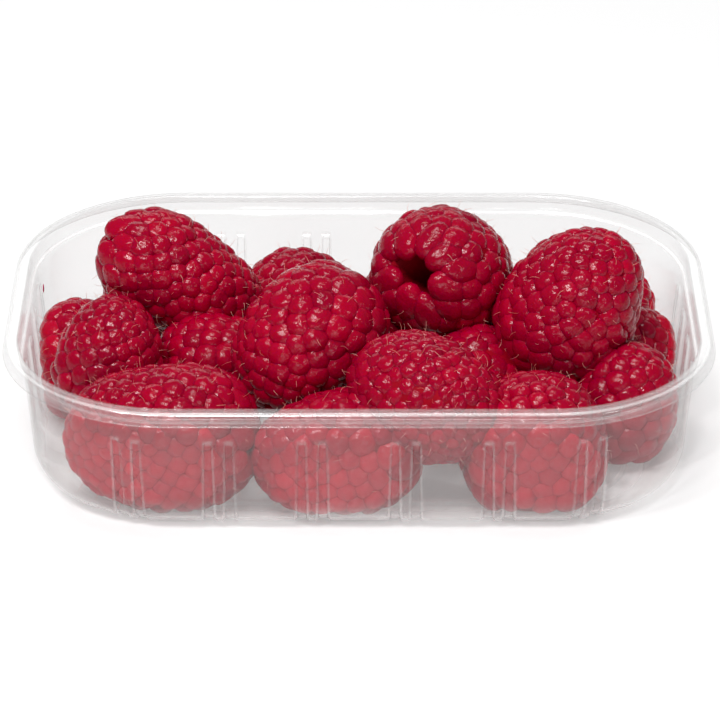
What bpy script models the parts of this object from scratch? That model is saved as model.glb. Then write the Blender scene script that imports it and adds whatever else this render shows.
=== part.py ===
"""A shallow clear plastic punnet, heaped with fresh raspberries."""

import math

import bmesh
import bpy
from mathutils import Matrix, Vector

MM = 0.001

# Tray, outside sizes.
TRAY_LENGTH = 142 * MM
TRAY_WIDTH = 102 * MM
TRAY_HEIGHT = 29 * MM
TRAY_CORNER = 34.5 * MM
TRAY_WALL = 0.5 * MM
CORNER_STEPS = 12

# Rim: a skirt that flares outwards, a rounded fold and a flat land.
SKIRT_DROP = 2.7 * MM
SKIRT_FLARE = 0.9 * MM
FOLD_RADIUS = 0.5 * MM
LAND_INSET = 3.25 * MM

# Wall: a short collar under the land, a small ledge, then a tapered wall.
COLLAR_DROP = 3.4 * MM
COLLAR_TAPER = 0.3 * MM
LEDGE = 0.8 * MM
WALL_TAPER = math.radians(4.6)
BOTTOM_RADIUS = 6.6 * MM
BOTTOM_STEPS = 5
SMALLEST_CORNER = 4 * MM

# Berries: what keeps them off the plastic, and how finely each is turned.
BERRY_GAP = 0.4 * MM
BERRY_SIDES = 16
BERRY_RINGS = 10
BERRY_TAPER = 0.14
BERRY_BLUNT = 0.85

# A block under the heap joins the berries into one solid.
CORE_LENGTH = 108 * MM
CORE_WIDTH = 62 * MM
CORE_TOP = 13 * MM
CORE_BEVEL = 6 * MM

# Each berry: the middle, the way its tip points, its length and its width,
# in millimetres.
BERRIES = {
    "back_left_top": ((-37, 12, 27.6), (1, 0, -0.6), 36, 23.5),
    "left_end": ((-57.4, 6, 13.5), (0.2, 0.4, 0.9), 25, 21.5),
    "left_cone": ((-50, -9, 19.5), (0.25, 0.25, 0.9), 27, 22),
    "front_left": ((-39.8, -32.5, 13.9), (-1, 0, -0.12), 38.5, 29.5),
    "middle_top": ((-10.5, -11, 24), (-0.65, -0.45, -0.45), 34, 28),
    "back_middle": ((-12, 28, 13.2), (1, 0.2, 0), 26, 23),
    "left_low": ((-30, -1, 13.5), (-0.6, 0.5, 0.1), 25, 23),
    "back_right_top": ((16.8, 11, 28.7), (0.6, 0.65, -0.45), 31, 28),
    "front_middle_top": ((14, -32, 22), (0.9, -0.4, -0.1), 33, 25.5),
    "front_middle": ((-5.5, -35.5, 12.3), (-1, 0, 0), 34, 25),
    "right_top": ((43, -3, 28.2), (0.6, 0.1, 0.65), 35, 29),
    "right_low": ((32, 18, 13), (0.5, 0.8, 0.2), 25, 22),
    "right_end": ((54, -14, 13), (0.2, 0.3, 0.9), 24, 22.5),
    "front_right": ((34.5, -33.5, 13.6), (0.1, 0.25, 0.95), 29.5, 29.4),
    "right_back_end": ((55.5, 8, 12.5), (-0.3, -0.2, 0.9), 22, 20.5),
    "back_right": ((51, 27, 12.5), (1, 0.2, 0.1), 23, 20.5),
    "middle_right_low": ((24, -8, 14), (0.4, 0.9, 0), 27, 23),
    "back_low": ((13, 31, 12.5), (1, 0, 0.1), 24, 21),
    "back_left": ((-41, 30, 12.5), (0.6, -0.7, 0.1), 25, 22),
    "middle_low": ((1, 4, 12.5), (0, 1, 0.1), 24, 21),
}


def clear_scene():
    for old in list(bpy.data.objects):
        bpy.data.objects.remove(old, do_unlink=True)


def new_collection(name, hidden=False):
    collection = bpy.data.collections.new(name)
    bpy.context.scene.collection.children.link(collection)
    collection.hide_render = hidden
    return collection


def make_material(name, color, roughness, metallic=0.0, alpha=1.0):
    material = bpy.data.materials.new(name)
    material.use_nodes = True
    shader = material.node_tree.nodes["Principled BSDF"]
    shader.inputs["Base Color"].default_value = (*color, 1.0)
    shader.inputs["Roughness"].default_value = roughness
    shader.inputs["Metallic"].default_value = metallic
    shader.inputs["Alpha"].default_value = alpha
    return material


def new_object(name, mesh_builder, collection, material=None):
    mesh = bpy.data.meshes.new(name)
    mesh_builder.to_mesh(mesh)
    mesh_builder.free()
    made = bpy.data.objects.new(name, mesh)
    collection.objects.link(made)
    if material:
        mesh.materials.append(material)
    return made


def rounded_outline(inset, height):
    """Points of the tray's outline, moved in by inset, at a height."""
    corner = max(TRAY_CORNER - inset, SMALLEST_CORNER)
    half_x = TRAY_LENGTH / 2 - inset - corner
    half_y = TRAY_WIDTH / 2 - inset - corner
    points = []
    for quarter, (side_x, side_y) in enumerate(((1, 1), (-1, 1), (-1, -1), (1, -1))):
        for step in range(CORNER_STEPS + 1):
            angle = math.pi / 2 * (quarter + step / CORNER_STEPS)
            x = side_x * half_x + corner * math.cos(angle)
            y = side_y * half_y + corner * math.sin(angle)
            points.append(Vector((x, y, height)))
    return points


def wall_inset(height):
    """How far the outer face of the tapered wall stands in at a height."""
    ledge_height = TRAY_HEIGHT - COLLAR_DROP
    start = LAND_INSET + COLLAR_TAPER + LEDGE - TRAY_WALL
    return start + (ledge_height - height) * math.tan(WALL_TAPER)


def bottom_profile(gap):
    """Rounded turn from wall to base as (inset, height), gap inside the outer face."""
    radius = BOTTOM_RADIUS - gap
    middle_inset = wall_inset(BOTTOM_RADIUS) + BOTTOM_RADIUS
    profile = []
    for step in range(BOTTOM_STEPS + 1):
        angle = math.pi / 2 * step / BOTTOM_STEPS
        inset = middle_inset - radius * math.cos(angle)
        height = BOTTOM_RADIUS - radius * math.sin(angle)
        profile.append((inset, height))
    return profile


def tray_profile():
    """The upper and inner face from the skirt's edge to the base, as (inset, height)."""
    top = TRAY_HEIGHT
    fold = FOLD_RADIUS
    profile = [(0, top - SKIRT_DROP), (SKIRT_FLARE, top - fold)]
    profile += [(SKIRT_FLARE + fold * 0.3, top - fold * 0.3), (SKIRT_FLARE + fold, top)]
    profile += [(LAND_INSET - fold, top), (LAND_INSET, top - fold)]
    profile += [(LAND_INSET + COLLAR_TAPER, top - COLLAR_DROP)]
    ledge_end = wall_inset(top - COLLAR_DROP) + TRAY_WALL
    profile += [(ledge_end, top - COLLAR_DROP - LEDGE / 2)]
    return profile + bottom_profile(TRAY_WALL)


def loft(profile, close_first=False):
    """Skin the outlines of a profile in order, and close the last one."""
    builder = bmesh.new()
    rings = []
    for inset, height in profile:
        rings.append([builder.verts.new(point) for point in rounded_outline(inset, height)])
    for outer, inner in zip(rings, rings[1:]):
        for index in range(len(outer)):
            after = (index + 1) % len(outer)
            builder.faces.new((outer[index], outer[after], inner[after], inner[index]))
    builder.faces.new(rings[-1])
    if close_first:
        builder.faces.new(list(reversed(rings[0])))
    bmesh.ops.recalc_face_normals(builder, faces=builder.faces)
    return builder


def make_tray(collection):
    plastic = make_material("clear plastic", (0.93, 0.94, 0.93), 0.08, alpha=0.35)
    tray = new_object("clear_tray", loft(tray_profile()), collection, plastic)
    wall = tray.modifiers.new("wall", "SOLIDIFY")
    wall.thickness = TRAY_WALL
    wall.offset = offset_below(tray)
    wall.use_even_offset = True
    return tray


def offset_below(shell):
    """Solidify's offset that leaves the shell as the tray's upper and inner face."""
    base = min(shell.data.polygons, key=lambda face: face.center.z)
    return -1.0 if base.normal.z > 0 else 1.0


def berry_builder(middle, direction, length, width):
    """A berry's outline: an egg, blunt at the open end and slimmer at the tip."""
    builder = bmesh.new()
    bmesh.ops.create_uvsphere(
        builder, u_segments=BERRY_SIDES, v_segments=BERRY_RINGS, radius=1.0
    )
    for vert in builder.verts:
        across = math.hypot(vert.co.x, vert.co.y)
        if across > 1e-6:
            girth = across ** (BERRY_BLUNT - 1) * (1 - BERRY_TAPER * vert.co.z)
            vert.co.x *= girth * width * MM / 2
            vert.co.y *= girth * width * MM / 2
        vert.co.z *= length * MM / 2
    turn = Vector(direction).to_track_quat("Z", "Y").to_matrix().to_4x4()
    place = Matrix.Translation(Vector(middle) * MM)
    bmesh.ops.transform(builder, matrix=place @ turn, verts=builder.verts)
    return builder


def core_builder():
    """A rounded block that stands under the middle of the heap."""
    builder = bmesh.new()
    bmesh.ops.create_cube(builder, size=1.0)
    bmesh.ops.scale(builder, vec=(CORE_LENGTH, CORE_WIDTH, CORE_TOP), verts=builder.verts)
    bmesh.ops.translate(builder, vec=(0, 0, CORE_TOP / 2), verts=builder.verts)
    bmesh.ops.bevel(
        builder,
        geom=builder.edges[:],
        offset=CORE_BEVEL,
        segments=2,
        profile=0.5,
        affect="EDGES",
        material=-1,
    )
    return builder


def room_builder():
    """The inside of the tray less the gap, open far above the rim."""
    gap = TRAY_WALL + BERRY_GAP
    profile = [(wall_inset(TRAY_HEIGHT * 2) + gap, TRAY_HEIGHT * 2)]
    profile += bottom_profile(gap)
    return loft(profile, close_first=True)


def add_boolean(target, cutter, operation):
    step = target.modifiers.new(cutter.name, "BOOLEAN")
    step.operation = operation
    step.solver = "EXACT"
    step.object = cutter


def make_heap(collection, cutters):
    flesh = make_material("raspberry", (0.42, 0.012, 0.03), 0.4)
    heap = new_object("raspberry_heap", core_builder(), collection, flesh)
    for name, sizes in BERRIES.items():
        berry = new_object("berry_" + name, berry_builder(*sizes), cutters)
        berry.display_type = "WIRE"
        add_boolean(heap, berry, "UNION")
    room = new_object("room_inside_tray", room_builder(), cutters)
    room.display_type = "WIRE"
    add_boolean(heap, room, "INTERSECT")
    return heap


def main():
    clear_scene()
    punnet = new_collection("punnet_of_raspberries")
    cutters = new_collection("cutters", hidden=True)
    make_tray(punnet)
    make_heap(punnet, cutters)


main()
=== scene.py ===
import math
import random
from collections import namedtuple

import bmesh
import bpy
import numpy as np
from mathutils import Matrix, Vector, noise


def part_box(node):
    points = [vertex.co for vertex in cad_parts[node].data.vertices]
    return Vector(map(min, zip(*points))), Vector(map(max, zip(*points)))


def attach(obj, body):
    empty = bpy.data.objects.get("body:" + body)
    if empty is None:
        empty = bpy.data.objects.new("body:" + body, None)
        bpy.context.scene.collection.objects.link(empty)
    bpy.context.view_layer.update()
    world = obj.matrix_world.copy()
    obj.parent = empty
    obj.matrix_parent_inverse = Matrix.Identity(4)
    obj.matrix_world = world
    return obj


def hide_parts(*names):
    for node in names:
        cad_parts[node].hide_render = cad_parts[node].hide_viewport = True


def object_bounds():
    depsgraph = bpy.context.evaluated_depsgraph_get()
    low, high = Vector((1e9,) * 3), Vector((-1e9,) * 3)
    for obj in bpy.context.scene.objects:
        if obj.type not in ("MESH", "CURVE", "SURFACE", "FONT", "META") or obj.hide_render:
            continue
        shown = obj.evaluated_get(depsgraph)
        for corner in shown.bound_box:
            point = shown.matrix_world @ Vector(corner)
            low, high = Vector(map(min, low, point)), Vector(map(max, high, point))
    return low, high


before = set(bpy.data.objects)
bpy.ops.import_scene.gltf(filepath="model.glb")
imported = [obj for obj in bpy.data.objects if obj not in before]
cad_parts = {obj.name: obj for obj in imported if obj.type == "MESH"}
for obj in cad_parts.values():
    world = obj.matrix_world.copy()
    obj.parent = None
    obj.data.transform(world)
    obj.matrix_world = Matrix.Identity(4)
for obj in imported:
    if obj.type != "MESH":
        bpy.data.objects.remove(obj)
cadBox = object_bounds()
mm = 0.001


class Wire:  # a shader socket that takes part in sums
    def __init__(self, tree, socket=None):
        self.tree = tree
        self.socket = socket

    def node(self, kind, settings=None, sockets=None, output=0):
        made = self.tree.nodes.new(kind)
        for name, value in (settings or {}).items():
            setattr(made, name, value)
        for name, value in (sockets or {}).items():
            if isinstance(value, Wire):
                self.tree.links.new(value.socket, made.inputs[name])
            else:
                made.inputs[name].default_value = value
        return Wire(self.tree, made.outputs[output])

    def math(self, operation, first, second=0.0):
        return self.node("ShaderNodeMath", {"operation": operation}, {0: first, 1: second})

    def __add__(self, other):
        return self.math("ADD", self, other)

    def __radd__(self, other):
        return self.math("ADD", other, self)

    def __sub__(self, other):
        return self.math("SUBTRACT", self, other)

    def __rsub__(self, other):
        return self.math("SUBTRACT", other, self)

    def __mul__(self, other):
        return self.math("MULTIPLY", self, other)

    def __rmul__(self, other):
        return self.math("MULTIPLY", other, self)

    def __pow__(self, other):
        return self.math("POWER", self, other)

    def clamped(self):
        return self.node("ShaderNodeClamp", sockets={"Value": self})

    def mixColor(self, first, second):
        sockets = {0: self, 6: first, 7: second}
        return self.node("ShaderNodeMix", {"data_type": "RGBA"}, sockets, output=2)

    def place(self):  # where a point is on the object
        return self.node("ShaderNodeTexCoord", output=3)

    def patches(self, scale, detail):
        sockets = {"Vector": self.place(), "Scale": scale, "Detail": detail}
        return self.node("ShaderNodeTexNoise", sockets=sockets)

    def attribute(self, name):
        return self.node("ShaderNodeAttribute", {"attribute_name": name}, output=2)

    def bump(self, strength, distance, height):
        sockets = {"Strength": strength, "Distance": distance, "Height": height}
        return self.node("ShaderNodeBump", sockets=sockets)

    def surface(self, sockets):
        return self.node("ShaderNodeBsdfPrincipled", sockets=sockets)


def newMaterial(name):
    material = bpy.data.materials.new(name)
    material.use_nodes = True
    material.node_tree.nodes.clear()
    return material, Wire(material.node_tree)


def finishMaterial(wire, shader):
    output = wire.tree.nodes.new("ShaderNodeOutputMaterial")
    wire.tree.links.new(shader.socket, output.inputs["Surface"])


def meshFromBuilder(name, builder):
    mesh = bpy.data.meshes.new(name)
    builder.to_mesh(mesh)
    builder.free()
    return mesh


def smoothFaces(builder):
    for face in builder.faces:
        face.smooth = True


def addPiece(name, mesh, material, replaced):
    piece = bpy.data.objects.new(name, mesh)
    bpy.context.scene.collection.objects.link(piece)
    mesh.materials.append(material)
    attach(piece, "root")
    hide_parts(replaced)
    return piece


view = {
    "target": (0.0002, 0, 0.0145),
    "distance": 0.828,
    "elevation": 27.5,  # degrees above the floor
    "lens": 202.65,  # in mm, as is the sensor's width
    "sensor": 36,
}


def makeCamera():
    data = bpy.data.cameras.new("camera")
    data.lens = view["lens"]
    data.sensor_width = view["sensor"]
    data.clip_start = 0.05
    data.clip_end = 20
    camera = bpy.data.objects.new("camera", data)
    bpy.context.scene.collection.objects.link(camera)
    tilt = math.radians(view["elevation"])
    back = Vector((0, -math.cos(tilt), math.sin(tilt)))
    camera.location = Vector(view["target"]) + back * view["distance"]
    camera.rotation_euler = back.to_track_quat("Z", "Y").to_euler()
    bpy.context.scene.camera = camera
    print("camera", tuple(round(value, 3) for value in camera.location))


studio = {
    "floorSize": 6.0,
    "floorColor": (0.66, 0.66, 0.66, 1),
    "floorGlow": 0.24,  # a light table, so that no dark shadow shows through the plastic
    "worldColor": (1, 1, 1, 1),
    "worldStrength": 0.14,
    # name: place, width, depth and power of each soft light
    "lights": {
        "key left": ((-0.48, -0.42, 0.98), 0.08, 0.3, 3.9),
        "key middle": ((-0.28, -0.52, 1.02), 0.08, 0.3, 3.9),
        "key right": ((-0.06, -0.58, 1.02), 0.08, 0.3, 3.9),
        "fill": ((0.75, -0.7, 0.6), 0.2, 0.2, 1.2),
        "top": ((0.05, 0.15, 1.3), 0.5, 0.3, 5.6),
        "back": ((0, 1.15, 0.62), 1.7, 0.3, 3.0),
        "low front": ((0.05, -1.25, 0.3), 1.0, 0.24, 3.2),
    },
    "throughLayers": 48,  # how many layers of clear plastic light may cross
}


def makeFloor():
    builder = bmesh.new()
    bmesh.ops.create_grid(builder, x_segments=1, y_segments=1, size=studio["floorSize"] / 2)
    floor = bpy.data.objects.new("floor", meshFromBuilder("floor", builder))
    bpy.context.scene.collection.objects.link(floor)
    material, wire = newMaterial("floor")
    finishMaterial(wire, wire.surface({
        "Base Color": studio["floorColor"],
        "Roughness": 0.9,
        "Specular IOR Level": 0.1,
        "Emission Color": (1, 1, 1, 1),
        "Emission Strength": studio["floorGlow"],
    }))
    floor.data.materials.append(material)


def makeLights():
    for name, (place, width, depth, power) in studio["lights"].items():
        data = bpy.data.lights.new(name, "AREA")
        data.shape = "RECTANGLE"
        data.size = width
        data.size_y = depth
        data.energy = power
        light = bpy.data.objects.new(name, data)
        light.location = place
        light.rotation_euler = Vector(place).to_track_quat("Z", "Y").to_euler()
        bpy.context.scene.collection.objects.link(light)


def makeStudio():
    makeFloor()
    world = bpy.data.worlds.new("studio")
    bpy.context.scene.world = world
    world.use_nodes = True
    backdrop = world.node_tree.nodes["Background"]
    backdrop.inputs["Color"].default_value = studio["worldColor"]
    backdrop.inputs["Strength"].default_value = studio["worldStrength"]
    makeLights()
    bpy.context.scene.view_settings.view_transform = "Standard"
    bpy.context.scene.cycles.transparent_max_bounces = studio["throughLayers"]
    print("studio", len(studio["lights"]), "lights")


tray = {
    "corner": 34.5 * mm,  # radius of the rim's corners
    "wall": 0.35 * mm,
    "cadWall": 0.5 * mm,  # the model's wall, which has the same outer face
    "skirtDrop": 2.7 * mm,
    # rows of points up the skirt, in mm: inset, height above its foot, and how much painted highlight the
    # film has there
    "skirtRows": ((0, 0, 0.2), (0.1, 0.35, 0.0), (0.25, 0.95, 0.0)),
    "skirtLean": 0.35 * mm,
    "outerFold": 1.5 * mm,  # radius of the bend between skirt and land
    "outerFoldStart": 12,  # degrees that the skirt has already turned in
    # shares of painted highlight, row by row, on the outer fold, the land's fold, the collar and the ledge
    "outerFoldWhite": (0.1, 0.0, 0.05, 0.4, 0.5, 0.1, 0.0),
    "landInset": 3.25 * mm,
    "landFold": 0.55 * mm,
    "landFoldGlint": (0.0, 0.05, 0.2, 0.15, 0.0),
    "collarDrop": 3.4 * mm,
    "collarTaper": 0.3 * mm,
    "collarGlint": (0.03, 0.1),
    "ledge": 0.8 * mm,
    "ledgeRound": 0.25 * mm,
    "ledgeGlint": (0.6, 0.6, 0.1),
    "taper": math.radians(4.6),
    # heights of the wall's rows in mm, close together where the ribs start
    "wallRows": (
        23.6, 22.9, 22.45, 22.38, 22.1, 21.4, 20.65, 20.58, 20.32, 19.5, 17.5, 15, 12, 9.5, 7.6
    ),
    "bottomRadius": 6.6 * mm,
    # painted highlight round the bend at the foot, row by row
    "bottomGlint": (0.04, 0.1, 0.22, 0.34, 0.45, 0.55, 0.65, 0.75, 0.85),
    "footFlat": 1.6 * mm,
    "panelInset": 18 * mm,
    "panelRise": 0.45 * mm,
    "panelSlope": 1.2 * mm,
    "panelFlat": 6 * mm,
    # painted highlight along the panel's edge, row by row
    "panelGlint": (0.45, 0.1, 0.5, 0.2, 0.0),
    "halfHeight": 12 * mm,  # where distances along the wall are measured
    "plainStations": 220,  # columns of points round the wall, where no rib is near
    "plainGap": 0.9 * mm,
}
ribs = {
    "pairs": (-2.5, -1.5, -0.5, 0.5, 1.5, 2.5),
    "pairSpacing": 18.2 * mm,  # between the pairs along a long side
    "gap": 4.1 * mm,  # between the two of a pair
    "width": 2.3 * mm,
    "top": 20.6 * mm,
    "endPlaces": (-17.5 * mm, -6 * mm, 6 * mm, 17.5 * mm),
    "endWidth": 5.4 * mm,
    "endTop": 22.4 * mm,
    "spread": 0.4,  # how much wider a rib is at the bottom
    "depth": 0.45 * mm,
    # places across a rib, as shares of its half width: flat in the middle, steep at the sides
    "shares": (0.0, 0.35, 0.62, 0.7, 0.78, 0.86, 0.94, 1.02, 1.25),
    "side": 0.34,  # share of the half width that its sloping side takes
    "start": 0.25 * mm,
    "fadeFrom": 2.5 * mm,  # ribs end under the tray, from this far before the turn ends
    "fade": 4 * mm,
    # painted highlights on the rib sides and on the ledge at each rib's top
    "sideGlint": 1.1,
    "topGlint": 0.22,
    "topGlintRows": (-0.1 * mm, 0.3 * mm),
    "glintFrom": 4 * mm,  # the sides' painted highlight is weaker below this height
    "footWave": 0.45 * mm,  # the foot lifts a little between the pairs
    "footWaveInner": 3 * mm,
    "footWaveHeight": 5 * mm,
}
trayLow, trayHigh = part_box("clear_tray")
straightX = (trayHigh.x - trayLow.x) / 2 - tray["corner"]
straightY = (trayHigh.y - trayLow.y) / 2 - tray["corner"]
Station = namedtuple("Station", "middle half share top")  # one column of points down the wall


def wallInset(height):  # from the rim's edge in to the wall's outer face
    ledgeHeight = trayHigh.z - tray["collarDrop"]
    start = tray["landInset"] + tray["collarTaper"] + tray["ledge"] - tray["cadWall"]
    return start + (ledgeHeight - height) * math.tan(tray["taper"])


wallTurn = tray["corner"] - wallInset(tray["halfHeight"])
quarterTurn = wallTurn * math.pi / 2
wayRound = 4 * (straightX + straightY) + 4 * quarterTurn
turnEnd = wallInset(tray["bottomRadius"]) + tray["bottomRadius"]  # inset where the ground begins


def bend(inset, height, radius, start, end, glints):  # an arc of rows, with its angles from straight in
    rows = []
    for step, glint in enumerate(glints):
        angle = math.radians(start + (end - start) * step / (len(glints) - 1))
        rows.append((inset + radius * math.cos(angle), height + radius * math.sin(angle), glint))
    return rows


def trayProfile():  # rows of the upper and inner face, from the rim down: inset, height, share of painted highlight
    top = trayHigh.z
    foot = top - tray["skirtDrop"]
    rows = [(inset * mm, foot + height * mm, glint) for inset, height, glint in tray["skirtRows"]]
    outer = tray["outerFold"]
    start = 180 - tray["outerFoldStart"]
    rows += bend(tray["skirtLean"] + outer, top - outer, outer, start, 90, tray["outerFoldWhite"])
    fold = tray["landFold"]
    rows += bend(tray["landInset"] - fold, top - fold, fold, 90, 0, tray["landFoldGlint"])

    collarFoot = top - tray["collarDrop"]
    collarInset = tray["landInset"] + tray["collarTaper"]
    ledgeEnd = wallInset(collarFoot) + tray["wall"]
    soft = tray["ledgeRound"]
    rows.append((collarInset - tray["collarTaper"] / 2, (top + collarFoot) / 2, tray["collarGlint"][0]))
    rows.append((collarInset, collarFoot + soft, tray["collarGlint"][1]))
    rows.append((collarInset + soft, collarFoot, tray["ledgeGlint"][0]))
    rows.append((ledgeEnd - soft * 0.8, collarFoot - soft * 0.4, tray["ledgeGlint"][1]))
    rows.append((ledgeEnd, collarFoot - soft * 1.6, tray["ledgeGlint"][2]))
    rows += [(wallInset(height * mm) + tray["wall"], height * mm, 0) for height in tray["wallRows"]]

    radius = tray["bottomRadius"]
    rows += bend(turnEnd, radius, radius - tray["wall"], 180, 270, tray["bottomGlint"])
    ground = tray["wall"]
    raised = ground + tray["panelRise"]
    edge = tray["panelInset"]
    slope = tray["panelSlope"]
    insets = (turnEnd + tray["footFlat"], edge - slope, edge - slope / 2, edge, edge + tray["panelFlat"])
    heights = (ground, ground, (ground + raised) / 2, raised, raised)
    return rows + list(zip(insets, heights, tray["panelGlint"]))


def trayRibs():  # each rib's middle along the wall, its width and the height where it starts
    placed = []
    for side in (0, wayRound / 2):
        for pair in ribs["pairs"]:
            for half in (-0.5, 0.5):
                middle = side + pair * ribs["pairSpacing"] + half * ribs["gap"]
                placed.append((middle % wayRound, ribs["width"], ribs["top"]))
    for side in (wayRound / 4, wayRound * 3 / 4):
        for place in ribs["endPlaces"]:
            placed.append(((side + place) % wayRound, ribs["endWidth"], ribs["endTop"]))
    return placed


def trayStations():
    stations = []
    for middle, width, top in trayRibs():
        for share in ribs["shares"]:
            for side in ((-1, 1) if share else (1,)):
                stations.append(Station(middle, width / 2, side * share, top))
    taken = [station.middle + station.half * station.share for station in stations]
    for step in range(tray["plainStations"]):
        place = wayRound * step / tray["plainStations"]
        away = [abs((place - other + wayRound / 2) % wayRound - wayRound / 2) for other in taken]
        if min(away) > tray["plainGap"]:
            stations.append(Station(place, 0, 0, 0))
    stations.sort(key=lambda station: (station.middle + station.half * station.share) % wayRound)
    return stations


def stationPlace(station, height):  # along the wall; ribs widen towards the bottom
    widen = 1
    if station.top:
        widen += ribs["spread"] * max(0.0, min(1.0, (station.top - height) / station.top))
    return (station.middle + station.half * station.share * widen) % wayRound


def wallPoint(place):  # the corners' middles or the straight runs between, and the way out from there
    if place < straightX:  # from the middle of the front side, anticlockwise
        return Vector((place, -straightY, 0)), Vector((0, -1, 0))
    left = place - straightX
    corners = (
        (straightX, -straightY, -90), (straightX, straightY, 0),
        (-straightX, straightY, 90), (-straightX, -straightY, 180),
    )
    sides = (2 * straightY, 2 * straightX, 2 * straightY, straightX)
    for (x, y, start), side in zip(corners, sides):
        if left < quarterTurn:
            angle = math.radians(start) + left / wallTurn
            return Vector((x, y, 0)), Vector((math.cos(angle), math.sin(angle), 0))
        left -= quarterTurn
        if left < side:
            angle = math.radians(start + 90)
            outward = Vector((round(math.cos(angle)), round(math.sin(angle)), 0))
            along = Vector((-outward.y, outward.x, 0))
            return Vector((x, y, 0)) + along * left, outward
        left -= side
    return Vector((0, -straightY, 0)), Vector((0, -1, 0))


def footLift(place, height, inset):  # how far the foot stands off the ground between the pairs
    run = (place + wayRound / 4) % (wayRound / 2) - wayRound / 4
    if abs(run) > 3 * ribs["pairSpacing"]:
        return 0
    wave = 0.5 + 0.5 * math.cos(2 * math.pi * run / ribs["pairSpacing"])
    inner = min(1, max(0, (turnEnd - inset) / ribs["footWaveInner"] + 1))
    return ribs["footWave"] * wave * inner * max(0, 1 - height / ribs["footWaveHeight"])


def ribShape(station, height, inset):  # how deep the rib is at a point, and how much painted highlight the film has there
    below = station.top - height
    across = min(1.0, max(0.0, (1.0 - abs(station.share)) / ribs["side"]))
    begun = min(1.0, max(0.0, below / ribs["start"]))
    depth = across ** 2 * (3 - 2 * across) * begun
    fadeStart = turnEnd - ribs["fadeFrom"]
    if inset > fadeStart:
        depth *= max(0.0, 1 - (inset - fadeStart) / ribs["fade"])
    glint = ribs["sideGlint"] * across * (1 - across) * begun
    lowest, highest = ribs["topGlintRows"]
    if lowest < below < highest:
        glint = ribs["topGlint"] * across
    return depth * ribs["depth"], glint * min(1, max(0, height / ribs["glintFrom"]))


def nextRing(builder, ring, edges):  # a new row of points below the last, in the same order
    made = bmesh.ops.extrude_edge_only(builder, edges=edges)["geom"]
    fresh = {item for item in made if isinstance(item, bmesh.types.BMVert)}
    others = [[edge.other_vert(vert) for edge in vert.link_edges] for vert in ring]
    ring = [next(vert for vert in near if vert in fresh) for near in others]
    return ring, [item for item in made if isinstance(item, bmesh.types.BMEdge)]


def makeTray():
    profile = trayProfile()
    stations = trayStations()
    builder = bmesh.new()
    ring = [builder.verts.new((0, 0, 0)) for _ in stations]
    edges = [builder.edges.new((ring[i - 1], ring[i])) for i in range(len(ring))]
    glintOf = {}
    for row, (inset, height, glint) in enumerate(profile):
        if row:
            ring, edges = nextRing(builder, ring, edges)
        before = profile[max(row - 1, 0)]
        after = profile[min(row + 1, len(profile) - 1)]
        along = Vector((after[0] - before[0], after[1] - before[1])).normalized()
        for vert, station in zip(ring, stations):
            place = stationPlace(station, height)
            middle, outward = wallPoint(place)
            depth, steep = ribShape(station, height, inset) if station.top else (0, 0)
            # painted highlight lines on the film: the row's share plus the rib side's
            glintOf[vert] = min(1, glint + steep)
            inward = inset - along.y * depth
            lifted = height + along.x * depth + footLift(place, height, inset)
            vert.co = middle + outward * (tray["corner"] - inward) + Vector((0, 0, lifted))
    bmesh.ops.contextual_create(builder, geom=ring)
    bmesh.ops.recalc_face_normals(builder, faces=builder.faces)
    base = max(builder.faces, key=lambda face: len(face.verts))
    if base.normal.z < 0:
        bmesh.ops.reverse_faces(builder, faces=builder.faces)
    smoothFaces(builder)
    marks = [glintOf[vert] for vert in builder.verts]
    mesh = meshFromBuilder("clear_tray_shell", builder)
    mesh.attributes.new("glint", "FLOAT", "POINT").data.foreach_set("value", marks)
    piece = addPiece("clear_tray_shell", mesh, plasticMaterial(), "clear_tray")
    wall = piece.modifiers.new("wall", "SOLIDIFY")
    wall.thickness = tray["wall"]
    wall.offset = -1
    wall.use_even_offset = True
    print("tray", len(stations), "stations", len(profile), "rows")


film = {
    "veilColor": (0.4, 0.4, 0.395, 1),
    # the colour of the painted highlight lines on the film
    "glintColor": (0.95, 0.95, 0.945, 1),
    "glossColor": (0.97, 0.97, 0.97, 1),
    "veil": 0.062,  # share of milky haze in each face of the wall
    "patchyVeil": 0.05,
    "patchScale": 40,
    "edgeVeil": 0.2,
    "glintVeil": 0.36,  # painted highlight: more haze, in the highlight colour, where the film bends
    "glintLeast": 0.35,  # the painted highlight of a bend is uneven
    "glintPatches": 1.4,
    "glintReach": 2.5,  # how soon a bend's painted highlight takes the whole of its colour
    "shine": 0.03,
    "edgeShine": 0.42,
    "roughness": 0.14,
}


def plasticMaterial():
    material, wire = newMaterial("clear plastic")
    patches = wire.patches(film["patchScale"], 2)
    edge = wire.node("ShaderNodeLayerWeight", sockets={"Blend": 0.5}, output=1)
    # painted highlight lines: where the attribute says, the haze gets thicker and whiter
    uneven = patches * film["glintPatches"] + film["glintLeast"]
    glint = (wire.attribute("glint") * uneven).clamped()
    fullGlint = (glint * film["glintReach"]).clamped()
    veil = wire.surface({
        "Base Color": fullGlint.mixColor(film["veilColor"], film["glintColor"]),
        "Roughness": 0.6,
        "Specular IOR Level": 0.0,
    })
    gloss = wire.surface({
        "Base Color": film["glossColor"], "Metallic": 1.0, "Roughness": film["roughness"]
    })
    clear = wire.node("ShaderNodeBsdfTransparent", sockets={"Color": (1, 1, 1, 1)})
    haze = film["veil"] - film["patchyVeil"] * 0.5 + patches * film["patchyVeil"]
    haze = haze + edge ** 3 * film["edgeVeil"] + glint * film["glintVeil"]
    shine = edge ** 4.5 * film["edgeShine"] + film["shine"]
    veiled = wire.node("ShaderNodeMixShader", sockets={0: haze, 1: clear, 2: veil})
    finishMaterial(wire, wire.node("ShaderNodeMixShader", sockets={0: shine, 1: veiled, 2: gloss}))
    return material


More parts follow.
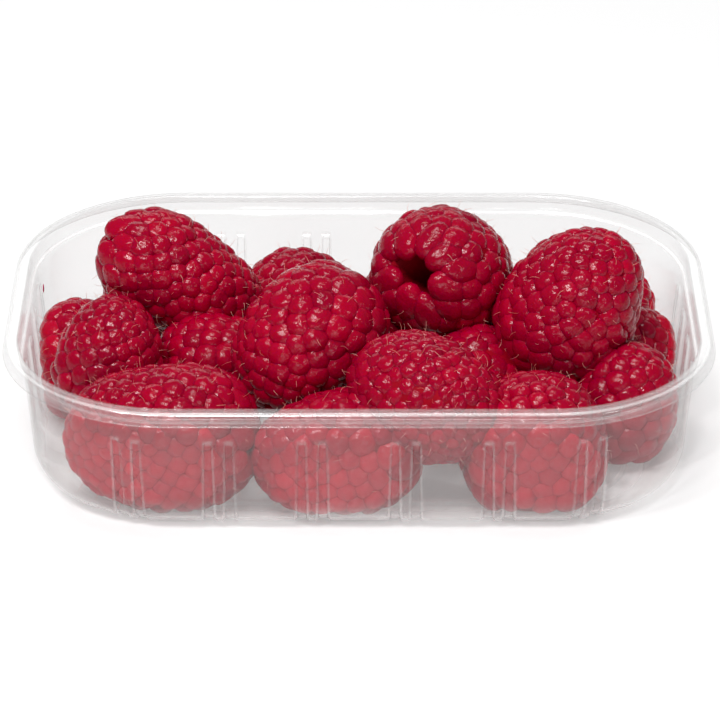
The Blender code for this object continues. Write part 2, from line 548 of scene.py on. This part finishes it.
# middle, length, width and the size of its drupelets are in mm; tip is the way that its tip points,
# and mouth is how wide it is open against its width
Berry = namedtuple("Berry", "middle tip length width drupelet mouth seed")
berries = {
    "backLeftTop": Berry((-36.4, 12, 27), (1, 0, -0.6), 36, 23.5, 3.3, 0.32, 11),
    "leftEnd": Berry((-58, 5.5, 13), (0.2, 0.4, 0.9), 25, 21.5, 4.0, 0.3, 12),
    "leftCone": Berry((-50, -9, 19.5), (0.25, 0.25, 0.9), 27, 22, 3.5, 0.3, 13),
    "frontLeft": Berry((-39.5, -32.5, 14.1), (-1, 0, 0.02), 38.5, 29.3, 3.5, 0.3, 14),
    "middleTop": Berry((-10.5, -11, 24), (-0.65, -0.45, -0.45), 34, 28, 3.9, 0.3, 15),
    "backMiddle": Berry((-12, 28, 13.2), (1, 0.2, 0), 26, 23, 3.6, 0.3, 16),
    "leftLow": Berry((-30, -1, 13.5), (-0.6, 0.5, 0.1), 25, 23, 3.6, 0.3, 17),
    "backRightTop": Berry((17.7, 10.3, 29), (0.45, 0.8, -0.42), 30.5, 28.2, 3.5, 0.4, 18),
    "frontMiddleTop": Berry((14, -32, 22), (0.9, -0.4, -0.1), 33, 25.5, 3.0, 0.3, 19),
    "frontMiddle": Berry((-5.5, -35.5, 12.3), (-1, 0, 0), 34, 25, 3.8, 0.3, 20),
    "rightTop": Berry((43.3, -3, 28.4), (0.5, 0.1, 0.75), 35, 28.4, 3.7, 0.3, 21),
    "rightLow": Berry((32, 18, 13), (0.5, 0.8, 0.2), 25, 22, 3.6, 0.3, 22),
    "rightEnd": Berry((54, -14, 13), (0.2, 0.3, 0.9), 24, 22.5, 3.8, 0.3, 23),
    "frontRight": Berry((34.5, -33.5, 13.6), (0.1, 0.25, 0.95), 29.5, 29.4, 3.9, 0.3, 24),
    "rightBackEnd": Berry((55.5, 8, 12.5), (-0.3, -0.2, 0.9), 22, 20.5, 3.7, 0.3, 25),
    "backRight": Berry((51, 27, 12.5), (1, 0.2, 0.1), 23, 20.5, 3.6, 0.3, 26),
    "middleRightLow": Berry((24, -8, 14), (0.4, 0.9, 0), 27, 23, 3.6, 0.3, 27),
    "backLow": Berry((13, 31, 12.5), (1, 0, 0.1), 24, 21, 3.6, 0.3, 28),
    "backLeft": Berry((-41, 30, 12.5), (0.6, -0.7, 0.1), 25, 22, 3.6, 0.3, 29),
    "middleLow": Berry((1, 4, 12.5), (0, 1, 0.1), 24, 21, 3.6, 0.3, 30),
}
groups = {
    "raspberries_left": ("backLeftTop", "leftEnd", "leftCone", "frontLeft"),
    "raspberries_middle": ("middleTop", "backRightTop", "frontMiddleTop", "frontMiddle"),
    "raspberries_right": ("rightTop", "rightEnd", "frontRight", "rightBackEnd"),
    "raspberries_under": (
        "backMiddle", "leftLow", "rightLow", "backRight",
        "middleRightLow", "backLow", "backLeft", "middleLow",
    ),
}
grain = {
    "fine": (16, 10),  # sides and rings of a drupelet
    "coarse": (12, 8),
    "coarseGroup": "raspberries_under",
    "rimSize": 1.2,  # drupelets at the open end and at the tip against the berry's own size
    "tipSize": 0.8,
    "rimGap": 0.1,  # radians between the mouth's edge and the first drupelets
    "tipGap": 0.03,  # and between the last ones and the tip
    "spiralEnd": 0.02,
    "spiralSteps": 240,
    "spread": 0.75,  # half width of a drupelet against its spacing
    "depth": 0.54,
    "cut": 0.45,  # how far below its middle the hidden end is cut away
    "boxy": 2.3,  # 2 is a round dome, more is flatter on top
    "rimStretch": 0.4,
    "rimStretchReach": 0.3,
    "taper": 0.14,
    "blunt": 0.85,
    "jitter": 0.16,
    "jitterAlong": 0.6,  # of that towards the tip
    "settle": 14,  # rounds of pushing apart
    "settleShare": 0.3,
    "nearest": 6,  # the first is the drupelet itself
    "ripeSpread": 0.12,
    "lean": 0.09,
    "sizeSpread": (0.93, 1.08),
    "widthSpread": (0.94, 1.06),
    "depthSpread": (0.92, 1.08),
    "hairRoot": 0.97,  # where a hair stands, against a drupelet's height
    "noiseSeed": 2,  # without one the lumps and dents differ from run to run
    "lumps": 1.3 * mm,
    "lumpScale": 55,
    "lumpShift": (3.1, 1.7, 0.9),  # times a berry's seed, so that no two grow alike
    "dent": 0.16 * mm,
    "dentScale": 420,
    "fineDent": 0.35,
    "fineDentScale": 1300,
    "gap": 0.12 * mm,  # between fruit and plastic
    "gapRounds": 3,
    "paintedLightBand": 5 * mm,  # drupelets this near the wall get painted light, a lighter red as if lit through the wall
    "paintedLightFade": 8 * mm,  # the painted light grows from the rim down over this height
    "paintedLightStart": 0.3,
}


def drupeletTemplate(sides, rings):  # a bead with a flattened top, its deep end cut away and closed
    builder = bmesh.new()
    bmesh.ops.create_uvsphere(builder, u_segments=sides, v_segments=rings, radius=1)
    cut = bmesh.ops.bisect_plane(
        builder, geom=builder.verts[:] + builder.edges[:] + builder.faces[:],
        plane_co=(0, 0, -grain["cut"]), plane_no=(0, 0, -1), clear_outer=True,
    )
    rim = [item for item in cut["geom_cut"] if isinstance(item, bmesh.types.BMEdge)]
    bmesh.ops.holes_fill(builder, edges=rim)
    bmesh.ops.recalc_face_normals(builder, faces=builder.faces)
    power = grain["boxy"]
    for vert in builder.verts:
        across = math.hypot(vert.co.x, vert.co.y)
        vert.co /= (across ** power + abs(vert.co.z) ** power) ** (1 / power)
    return templateParts(builder)


def templateParts(builder):  # the points of a shape that is repeated, and its faces
    builder.verts.index_update()
    points = np.array([vert.co[:] for vert in builder.verts])
    faces = [[vert.index for vert in face.verts] for face in builder.faces]
    builder.free()
    return points, faces


def berryMatrix(berry):
    turn = Vector(berry.tip).to_track_quat("Z", "Y").to_matrix().to_4x4()
    return Matrix.Translation(Vector(berry.middle) * mm) @ turn


def girth(angle):  # half width against full half width, angle from the open end
    return np.sin(angle) ** grain["blunt"] * (1 + grain["taper"] * np.cos(angle))


def mouthAngle(berry):
    return math.asin(min(1, berry.mouth ** (1 / grain["blunt"])))


def drupeletsOf(berry):  # in the berry's own space: places, outward ways, turns, spacings and stretch
    chance = np.random.default_rng(berry.seed)
    size = berry.drupelet * mm
    start = mouthAngle(berry) + grain["rimGap"]
    end = math.pi - grain["tipGap"]
    halfLength = berry.length * mm / 2 - size * grain["depth"]
    halfWidth = berry.width * mm / 2 - size * grain["depth"]

    def spacingAt(angle):
        share = (angle - start) / (math.pi - start)
        return size * (grain["rimSize"] + (grain["tipSize"] - grain["rimSize"]) * share)

    def onSkin(angle, around):
        ring = halfWidth * girth(angle)
        return np.stack([ring * np.cos(around), ring * np.sin(around), -halfLength * np.cos(angle)], axis=1)

    # as many as fill the skin, set out in a spiral; rows in a honeycomb stand sqrt(0.75) apart
    steps = np.linspace(start, math.pi - grain["spiralEnd"], grain["spiralSteps"])
    radius = halfWidth * girth(steps)
    slant = np.hypot(np.gradient(radius), np.gradient(halfLength * np.cos(steps)))
    room = np.cumsum(2 * math.pi * radius * slant / (math.sqrt(0.75) * spacingAt(steps) ** 2))
    count = int(room[-1])
    angle = np.interp((np.arange(count) + 0.5) / count * room[-1], room, steps)
    around = np.arange(count) * math.pi * (3 - math.sqrt(5)) + chance.uniform(0, 6)
    shift = grain["jitter"] * spacingAt(angle) / halfWidth
    angle = angle + chance.normal(0, 1, count) * shift * grain["jitterAlong"]
    around = around + chance.normal(0, 1, count) * shift

    nudge = 0.01
    for _ in range(grain["settle"]):  # neighbours push each other apart along the skin
        angle = np.clip(angle, start, end)
        places = onSkin(angle, around)
        away = places[:, None, :] - places[None, :, :]
        far = np.linalg.norm(away, axis=2) + np.eye(count)
        wanted = (spacingAt(angle)[:, None] + spacingAt(angle)[None, :]) / 2
        push = np.clip(wanted - far, 0, None) * (1 - np.eye(count))
        push = grain["settleShare"] * (away / far[:, :, None] * push[:, :, None]).sum(axis=1)
        along = (onSkin(angle + nudge, around) - onSkin(angle - nudge, around)) / (2 * nudge)
        across = np.stack([-np.sin(around), np.cos(around), np.zeros(count)], axis=1)
        ring = np.maximum(np.hypot(places[:, 0], places[:, 1]), size * 0.4)
        angle = angle + (push * along).sum(axis=1) / (along ** 2).sum(axis=1)
        around = around + (push * across).sum(axis=1) / ring

    angle = np.clip(angle, start, end)
    places = onSkin(angle, around)
    outward = places / np.array([halfWidth, halfWidth, halfLength]) ** 2
    outward /= np.linalg.norm(outward, axis=1)[:, None]
    far = np.linalg.norm(places[:, None, :] - places[None, :, :], axis=2)
    near = np.sort(far, axis=1)[:, 1:grain["nearest"]]
    sizes = 0.5 * near.mean(axis=1) + 0.5 * spacingAt(angle)  # true room, so that none leaves a hole
    stretch = 1 + grain["rimStretch"] * np.exp(-((angle - start) / grain["rimStretchReach"]) ** 2)
    return places, outward, around, sizes, stretch


def bendOutline(point, seed):  # uneven growth
    where = point * grain["lumpScale"] + Vector(grain["lumpShift"]) * seed
    return point + noise.noise_vector(where) * grain["lumps"]


def placeDrupelets(names, template):  # each one's points, its shade, and where its hair may stand
    points, shades, roots = [], [], []
    for name in names:
        berry = berries[name]
        toWorld = berryMatrix(berry)
        turn = toWorld.to_3x3()
        chance = random.Random(berry.seed * 7)
        ripe = chance.uniform(-grain["ripeSpread"], grain["ripeSpread"])
        for place, outward, around, size, stretch in zip(*drupeletsOf(berry)):
            lean = Vector([chance.gauss(0, grain["lean"]) for _ in range(3)])
            slope = (Vector(outward) + lean).normalized()
            side = Vector((-math.sin(around), math.cos(around), 0))
            ahead = slope.cross(side).normalized()
            side = ahead.cross(slope)
            ways = np.array(turn @ Matrix((side, ahead, slope)).transposed())
            middle = toWorld @ bendOutline(Vector(place), berry.seed)
            swell = chance.uniform(*grain["sizeSpread"])
            half = size * grain["spread"] * swell
            across = half * chance.uniform(*grain["widthSpread"])
            along = half * chance.uniform(*grain["widthSpread"]) * stretch
            height = size * grain["depth"] * swell * chance.uniform(*grain["depthSpread"])
            points.append((template * np.array([across, along, height])) @ ways.T + np.array(middle))
            shades.append(min(1, max(0, 0.5 + ripe + chance.gauss(0, grain["ripeSpread"]))))
            way = turn @ slope
            root = middle + way * height * grain["hairRoot"]
            roots.append((root, way, turn @ side, chance.random()))
    return points, shades, roots


def dentedPoints(points):  # small unevenness that runs on from drupelet to drupelet
    for index, point in enumerate(points):
        where = Vector(point)
        large = np.array(noise.noise_vector(where * grain["dentScale"]))
        points[index] += grain["dent"] * large
        small = np.array(noise.noise_vector(where * grain["fineDentScale"]))
        points[index] += grain["dent"] * grain["fineDent"] * small
    return points


limits = {
    "headroom": 0.05 * mm,  # below the top of the model's box
    "ribShare": 0.9,  # of the ribs' depth that fruit keeps clear of
    "overRim": 1 * mm,  # fruit higher than this above the rim may lean out
}


def keepInside(points, clearance):  # the moves that keep points clear of the tray and in the model's box
    moves = np.zeros_like(points)
    ceiling = cadBox[1].z - limits["headroom"]
    ground = tray["wall"] + tray["panelRise"] + clearance
    moves[:, 2] = np.minimum(ceiling - points[:, 2], 0) + np.maximum(ground - points[:, 2], 0)
    height = points[:, 2] + moves[:, 2]
    radius = tray["bottomRadius"]
    low = np.clip(radius - height, 0, radius)
    inset = wallInset(0) - height * math.tan(tray["taper"]) + tray["wall"] + clearance
    inset = inset + radius - np.sqrt(np.maximum(radius ** 2 - low ** 2, 0))
    inset = inset + ribs["depth"] * limits["ribShare"] * (height < ribs["endTop"])
    awayX = points[:, 0] - np.clip(points[:, 0], -straightX, straightX)
    awayY = points[:, 1] - np.clip(points[:, 1], -straightY, straightY)
    away = np.hypot(awayX, awayY)
    limit = tray["corner"] - inset
    over = (away > limit) & (height < trayHigh.z + limits["overRim"])
    shrink = np.where(over, limit / np.maximum(away, 1e-9) - 1, 0)
    moves[:, 0] = awayX * shrink
    moves[:, 1] = awayY * shrink
    return moves


def paintedLightShare(middles):  # painted light on drupelets behind the wall: nearness to the wall, less towards the rim
    near = np.linalg.norm(keepInside(middles, grain["paintedLightBand"])[:, :2], axis=1) / grain["paintedLightBand"]
    start = trayHigh.z - grain["paintedLightFade"] * grain["paintedLightStart"]
    return np.clip(near, 0, 1) * np.clip((start - middles[:, 2]) / grain["paintedLightFade"], 0, 1)


def joinedMesh(name, copies, faces, shades, dented=False):  # copies of one shape as one mesh
    count = len(copies)
    perCopy = len(copies[0])
    points = np.concatenate(copies)
    for _ in range(grain["gapRounds"]):  # a copy moves as a whole, so that it keeps its shape
        moves = keepInside(points, grain["gap"]).reshape(count, perCopy, 3)
        lowest = moves.min(axis=1)
        highest = moves.max(axis=1)
        whole = np.where(-lowest > highest, lowest, highest)
        points = points + np.repeat(whole, perCopy, axis=0)
    if dented:
        points = dentedPoints(points)
    points = points + keepInside(points, grain["gap"] / 2)

    corners = np.concatenate(faces)
    loops = (corners[None, :] + (np.arange(count) * perCopy)[:, None]).ravel()
    totals = np.tile([len(face) for face in faces], count)
    mesh = bpy.data.meshes.new(name)
    mesh.vertices.add(len(points))
    mesh.vertices.foreach_set("co", points.ravel())
    mesh.loops.add(len(loops))
    mesh.loops.foreach_set("vertex_index", loops)
    mesh.polygons.add(len(totals))
    mesh.polygons.foreach_set("loop_start", np.concatenate([[0], np.cumsum(totals)[:-1]]))
    mesh.polygons.foreach_set("loop_total", totals)
    mesh.polygons.foreach_set("use_smooth", np.ones(len(totals), dtype=bool))
    mesh.update(calc_edges=True)
    # painted light share for drupelets behind the wall, one value a copy
    paintedLight = paintedLightShare(points.reshape(count, perCopy, 3).mean(axis=1))
    for attribute, values in (("shade", np.array(shades)), ("paintedLight", paintedLight)):
        data = mesh.attributes.new(attribute, "FLOAT", "POINT").data
        data.foreach_set("value", np.repeat(values, perCopy))
    return mesh


skin = {
    "darkColor": (0.17, 0.0, 0.013, 1),
    "ripeColor": (0.42, 0.0, 0.022, 1),
    # the lighter red of the painted light on drupelets behind the wall
    "paleColor": (0.56, 0.005, 0.03, 1),
    "shadeShare": 0.7,  # from drupelet to drupelet
    "patchShare": 0.5,
    "patchScale": 110,
    "toneShift": -0.1,
    "paintedLightLeast": 0.6,  # how much painted light the darkest drupelet gets against the wall
    "wrinkleScale": 900,
    "wrinkleDepth": 0.4 * mm,
    "roughness": (0.08, 0.15),  # at least, and more with the wrinkles
}


def drupeletMaterial():
    material, wire = newMaterial("raspberry drupelets")
    patches = wire.patches(skin["patchScale"], 2)
    wrinkle = wire.patches(skin["wrinkleScale"], 2)
    tone = wire.attribute("shade") * skin["shadeShare"] + patches * skin["patchShare"] + skin["toneShift"]
    color = tone.mixColor(skin["darkColor"], skin["ripeColor"])
    # painted light: drupelets behind the wall are mixed towards a lighter red
    paintedLight = wire.attribute("paintedLight") * (skin["paintedLightLeast"] + tone)
    color = paintedLight.mixColor(color, skin["paleColor"])
    bump = wire.bump(0.5, skin["wrinkleDepth"], wrinkle)
    smoothest, rougher = skin["roughness"]
    finishMaterial(wire, wire.surface({
        "Base Color": color,
        "Roughness": smoothest + wrinkle * rougher,
        "Specular IOR Level": 0.2,
        "Subsurface Weight": 0.5,
        "Subsurface Radius": (1.0, 0.04, 0.1),
        "Subsurface Scale": 0.0012,
        "Normal": bump,
    }))
    return material


def makeBerries():  # returns the places for the hairs
    noise.seed_set(grain["noiseSeed"])
    material = drupeletMaterial()
    allRoots = []
    for group, names in groups.items():
        detail = "coarse" if group == grain["coarseGroup"] else "fine"
        template, faces = drupeletTemplate(*grain[detail])
        points, shades, roots = placeDrupelets(names, template)
        mesh = joinedMesh(group, points, faces, shades, dented=True)
        addPiece(group, mesh, material, "raspberry_heap")
        allRoots += roots
        triangles = sum(len(face) - 2 for face in faces) * len(points)
        print(group, len(points), "drupelets", triangles, "triangles")
    return allRoots


flesh = {
    "sides": 28,
    "rings": 14,
    "sink": 0.36,  # below the drupelets' tops, against their size
    "mouthDepth": 0.62,  # of the berry's length
    # the hollow's bottom and middle: width against the mouth's, and place against half the length
    "hollowBottom": (0.45, 0.12),
    "hollowMiddle": (0.8, 0.35),
    "wallGap": 1.5 * mm,
    "darkColor": (0.16, 0.0, 0.006, 1),
    "brightColor": (0.34, 0.0, 0.010, 1),
    "grainScale": 300,
    "grainDepth": 0.4 * mm,
}


def fleshProfile(berry):  # from the bottom of the hollow out over the open end to the tip
    halfLength = berry.length * mm / 2 - berry.drupelet * mm * flesh["sink"]
    halfWidth = berry.width * mm / 2 - berry.drupelet * mm * flesh["sink"]
    hollow = halfWidth * berry.mouth
    bottom = halfLength * (2 * flesh["mouthDepth"] - 1)
    start = mouthAngle(berry)
    profile = [(0, bottom)]
    profile.append((hollow * flesh["hollowBottom"][0], bottom - halfLength * flesh["hollowBottom"][1]))
    profile.append((hollow * flesh["hollowMiddle"][0], -halfLength * flesh["hollowMiddle"][1]))
    for step in range(flesh["rings"]):
        angle = start + (math.pi - start) * step / flesh["rings"]
        profile.append((halfWidth * girth(angle), -math.cos(angle) * halfLength))
    return profile + [(0, halfLength)]


def fleshMaterial():
    material, wire = newMaterial("raspberry flesh")
    grainy = wire.patches(flesh["grainScale"], 3)
    color = grainy.mixColor(flesh["darkColor"], flesh["brightColor"])
    bump = wire.bump(0.6, flesh["grainDepth"], grainy)
    finishMaterial(wire, wire.surface({
        "Base Color": color, "Roughness": 0.6, "Specular IOR Level": 0.05, "Normal": bump
    }))
    return material


def makeFlesh():  # the wall of fruit under the drupelets, hollow from the open end
    tiny = 1e-7
    builder = bmesh.new()
    for berry in berries.values():
        verts = [builder.verts.new((x, 0, z)) for x, z in fleshProfile(berry)]
        edges = [builder.edges.new(pair) for pair in zip(verts, verts[1:])]
        bmesh.ops.spin(
            builder, geom=verts + edges, cent=(0, 0, 0), axis=(0, 0, 1), angle=2 * math.pi,
            steps=flesh["sides"], use_merge=True,
        )
        fresh = list({vert for face in builder.faces if not face.tag for vert in face.verts})
        for face in builder.faces:
            face.tag = True
        poles = [vert for vert in fresh if math.hypot(vert.co.x, vert.co.y) < tiny]
        bmesh.ops.remove_doubles(builder, verts=poles, dist=tiny)
        fresh = [vert for vert in fresh if vert.is_valid]
        bmesh.ops.transform(builder, matrix=berryMatrix(berry), verts=fresh)
    bmesh.ops.recalc_face_normals(builder, faces=builder.faces)
    smoothFaces(builder)
    mesh = meshFromBuilder("raspberry_flesh", builder)
    points = np.empty(len(mesh.vertices) * 3)
    mesh.vertices.foreach_get("co", points)
    points = points.reshape(-1, 3)
    points = points + keepInside(points, flesh["wallGap"])
    mesh.vertices.foreach_set("co", points.ravel())
    addPiece("raspberry_flesh", mesh, fleshMaterial(), "raspberry_heap")
    print("flesh", len(mesh.polygons), "faces")


hairs = {
    "share": 0.85,  # of the drupelets that have one
    "length": (0.8 * mm, 2.2 * mm),
    "radius": 0.05 * mm,
    "tip": 0.4,  # against the radius at the root
    "joints": 4,
    "lean": (0.2, 0.9),
    "bend": 0.72,
    "droop": 0.5,
    "sunk": 0.15 * mm,
    "aside": 0.3 * mm,
    "clearTop": 0.1 * mm,
    "seed": 5,
    "darkColor": (0.70, 0.16, 0.12, 1),
    "paleColor": (0.90, 0.50, 0.40, 1),
}


def hairTemplate():  # a thin cone of height one, with joints where it bends
    builder = bmesh.new()
    bmesh.ops.create_cone(
        builder, segments=3, radius1=1, radius2=hairs["tip"], depth=1, cap_ends=True
    )
    bmesh.ops.translate(builder, vec=(0, 0, 0.5), verts=builder.verts)
    for step in range(1, hairs["joints"]):
        bmesh.ops.bisect_plane(
            builder, geom=builder.verts[:] + builder.edges[:] + builder.faces[:],
            plane_co=(0, 0, step / hairs["joints"]), plane_no=(0, 0, 1),
        )
    return templateParts(builder)


def makeStyles(roots):  # the fine dry hairs that stay on the drupelets
    template, faces = hairTemplate()
    along = template[:, 2:3]
    chance = random.Random(hairs["seed"])
    points, shades = [], []
    for root, outward, side, draw in roots:
        if draw > hairs["share"]:
            continue
        length = chance.uniform(*hairs["length"])
        turn = chance.uniform(0, 2 * math.pi)
        lean = side * math.cos(turn) + outward.cross(side) * math.sin(turn)
        way = (outward + lean * chance.uniform(*hairs["lean"])).normalized()
        bow = (lean - way * lean.dot(way)).normalized() * chance.uniform(-1, 1) * hairs["bend"]
        droop = way.cross(bow).normalized() * chance.uniform(-hairs["droop"], hairs["droop"])
        start = root - outward * hairs["sunk"] + lean * hairs["aside"]
        curve = along * np.array(way) + along ** 2 * np.array(bow) + along ** 3 * np.array(droop)
        across = np.array(way.orthogonal().normalized())
        third = np.cross(np.array(way), across)
        thick = hairs["radius"] * (template[:, 0:1] * across + template[:, 1:2] * third)
        copy = np.array(start) + length * curve + thick
        if copy[:, 2].max() < cadBox[1].z - hairs["clearTop"]:
            points.append(copy)
            shades.append(chance.random())
    mesh = joinedMesh("raspberry_styles", points, faces, shades)
    material, wire = newMaterial("dry styles")
    color = wire.attribute("shade").mixColor(hairs["darkColor"], hairs["paleColor"])
    finishMaterial(wire, wire.surface({"Base Color": color, "Roughness": 0.5}))
    addPiece("raspberry_styles", mesh, material, "raspberry_heap")
    print("styles", len(points), "hairs", len(mesh.polygons), "faces")


juice = {
    "turn": 172,  # degrees round the left back corner
    "height": 20.6 * mm,
    "standOff": 0.45 * mm,
    "size": (0.14 * mm, 0.4 * mm, 1.0 * mm),
    "color": (0.62, 0.04, 0.14, 1),
}


def makeJuice():  # a small smear of juice on the inside of the wall, at the left end towards the back
    reach = tray["corner"] - wallInset(juice["height"]) - tray["wall"] - juice["standOff"]
    angle = math.radians(juice["turn"])
    x = -straightX + reach * math.cos(angle)
    y = straightY + reach * math.sin(angle)
    middle = Vector((x, y, juice["height"]))
    builder = bmesh.new()
    bmesh.ops.create_uvsphere(builder, u_segments=14, v_segments=10, radius=1)
    bmesh.ops.scale(builder, vec=juice["size"], verts=builder.verts)
    turn = Matrix.Rotation(angle, 3, "Z")
    bmesh.ops.rotate(builder, cent=(0, 0, 0), matrix=turn, verts=builder.verts)
    bmesh.ops.translate(builder, vec=middle, verts=builder.verts)
    smoothFaces(builder)
    mesh = meshFromBuilder("juice_mark", builder)
    material, wire = newMaterial("juice")
    finishMaterial(wire, wire.surface({"Base Color": juice["color"], "Roughness": 0.25}))
    addPiece("juice_mark", mesh, material, "raspberry_heap")
    print("juice mark", tuple(round(value / mm, 1) for value in middle))


makeCamera()
makeStudio()
makeTray()
hairRoots = makeBerries()
makeFlesh()
makeStyles(hairRoots)
makeJuice()
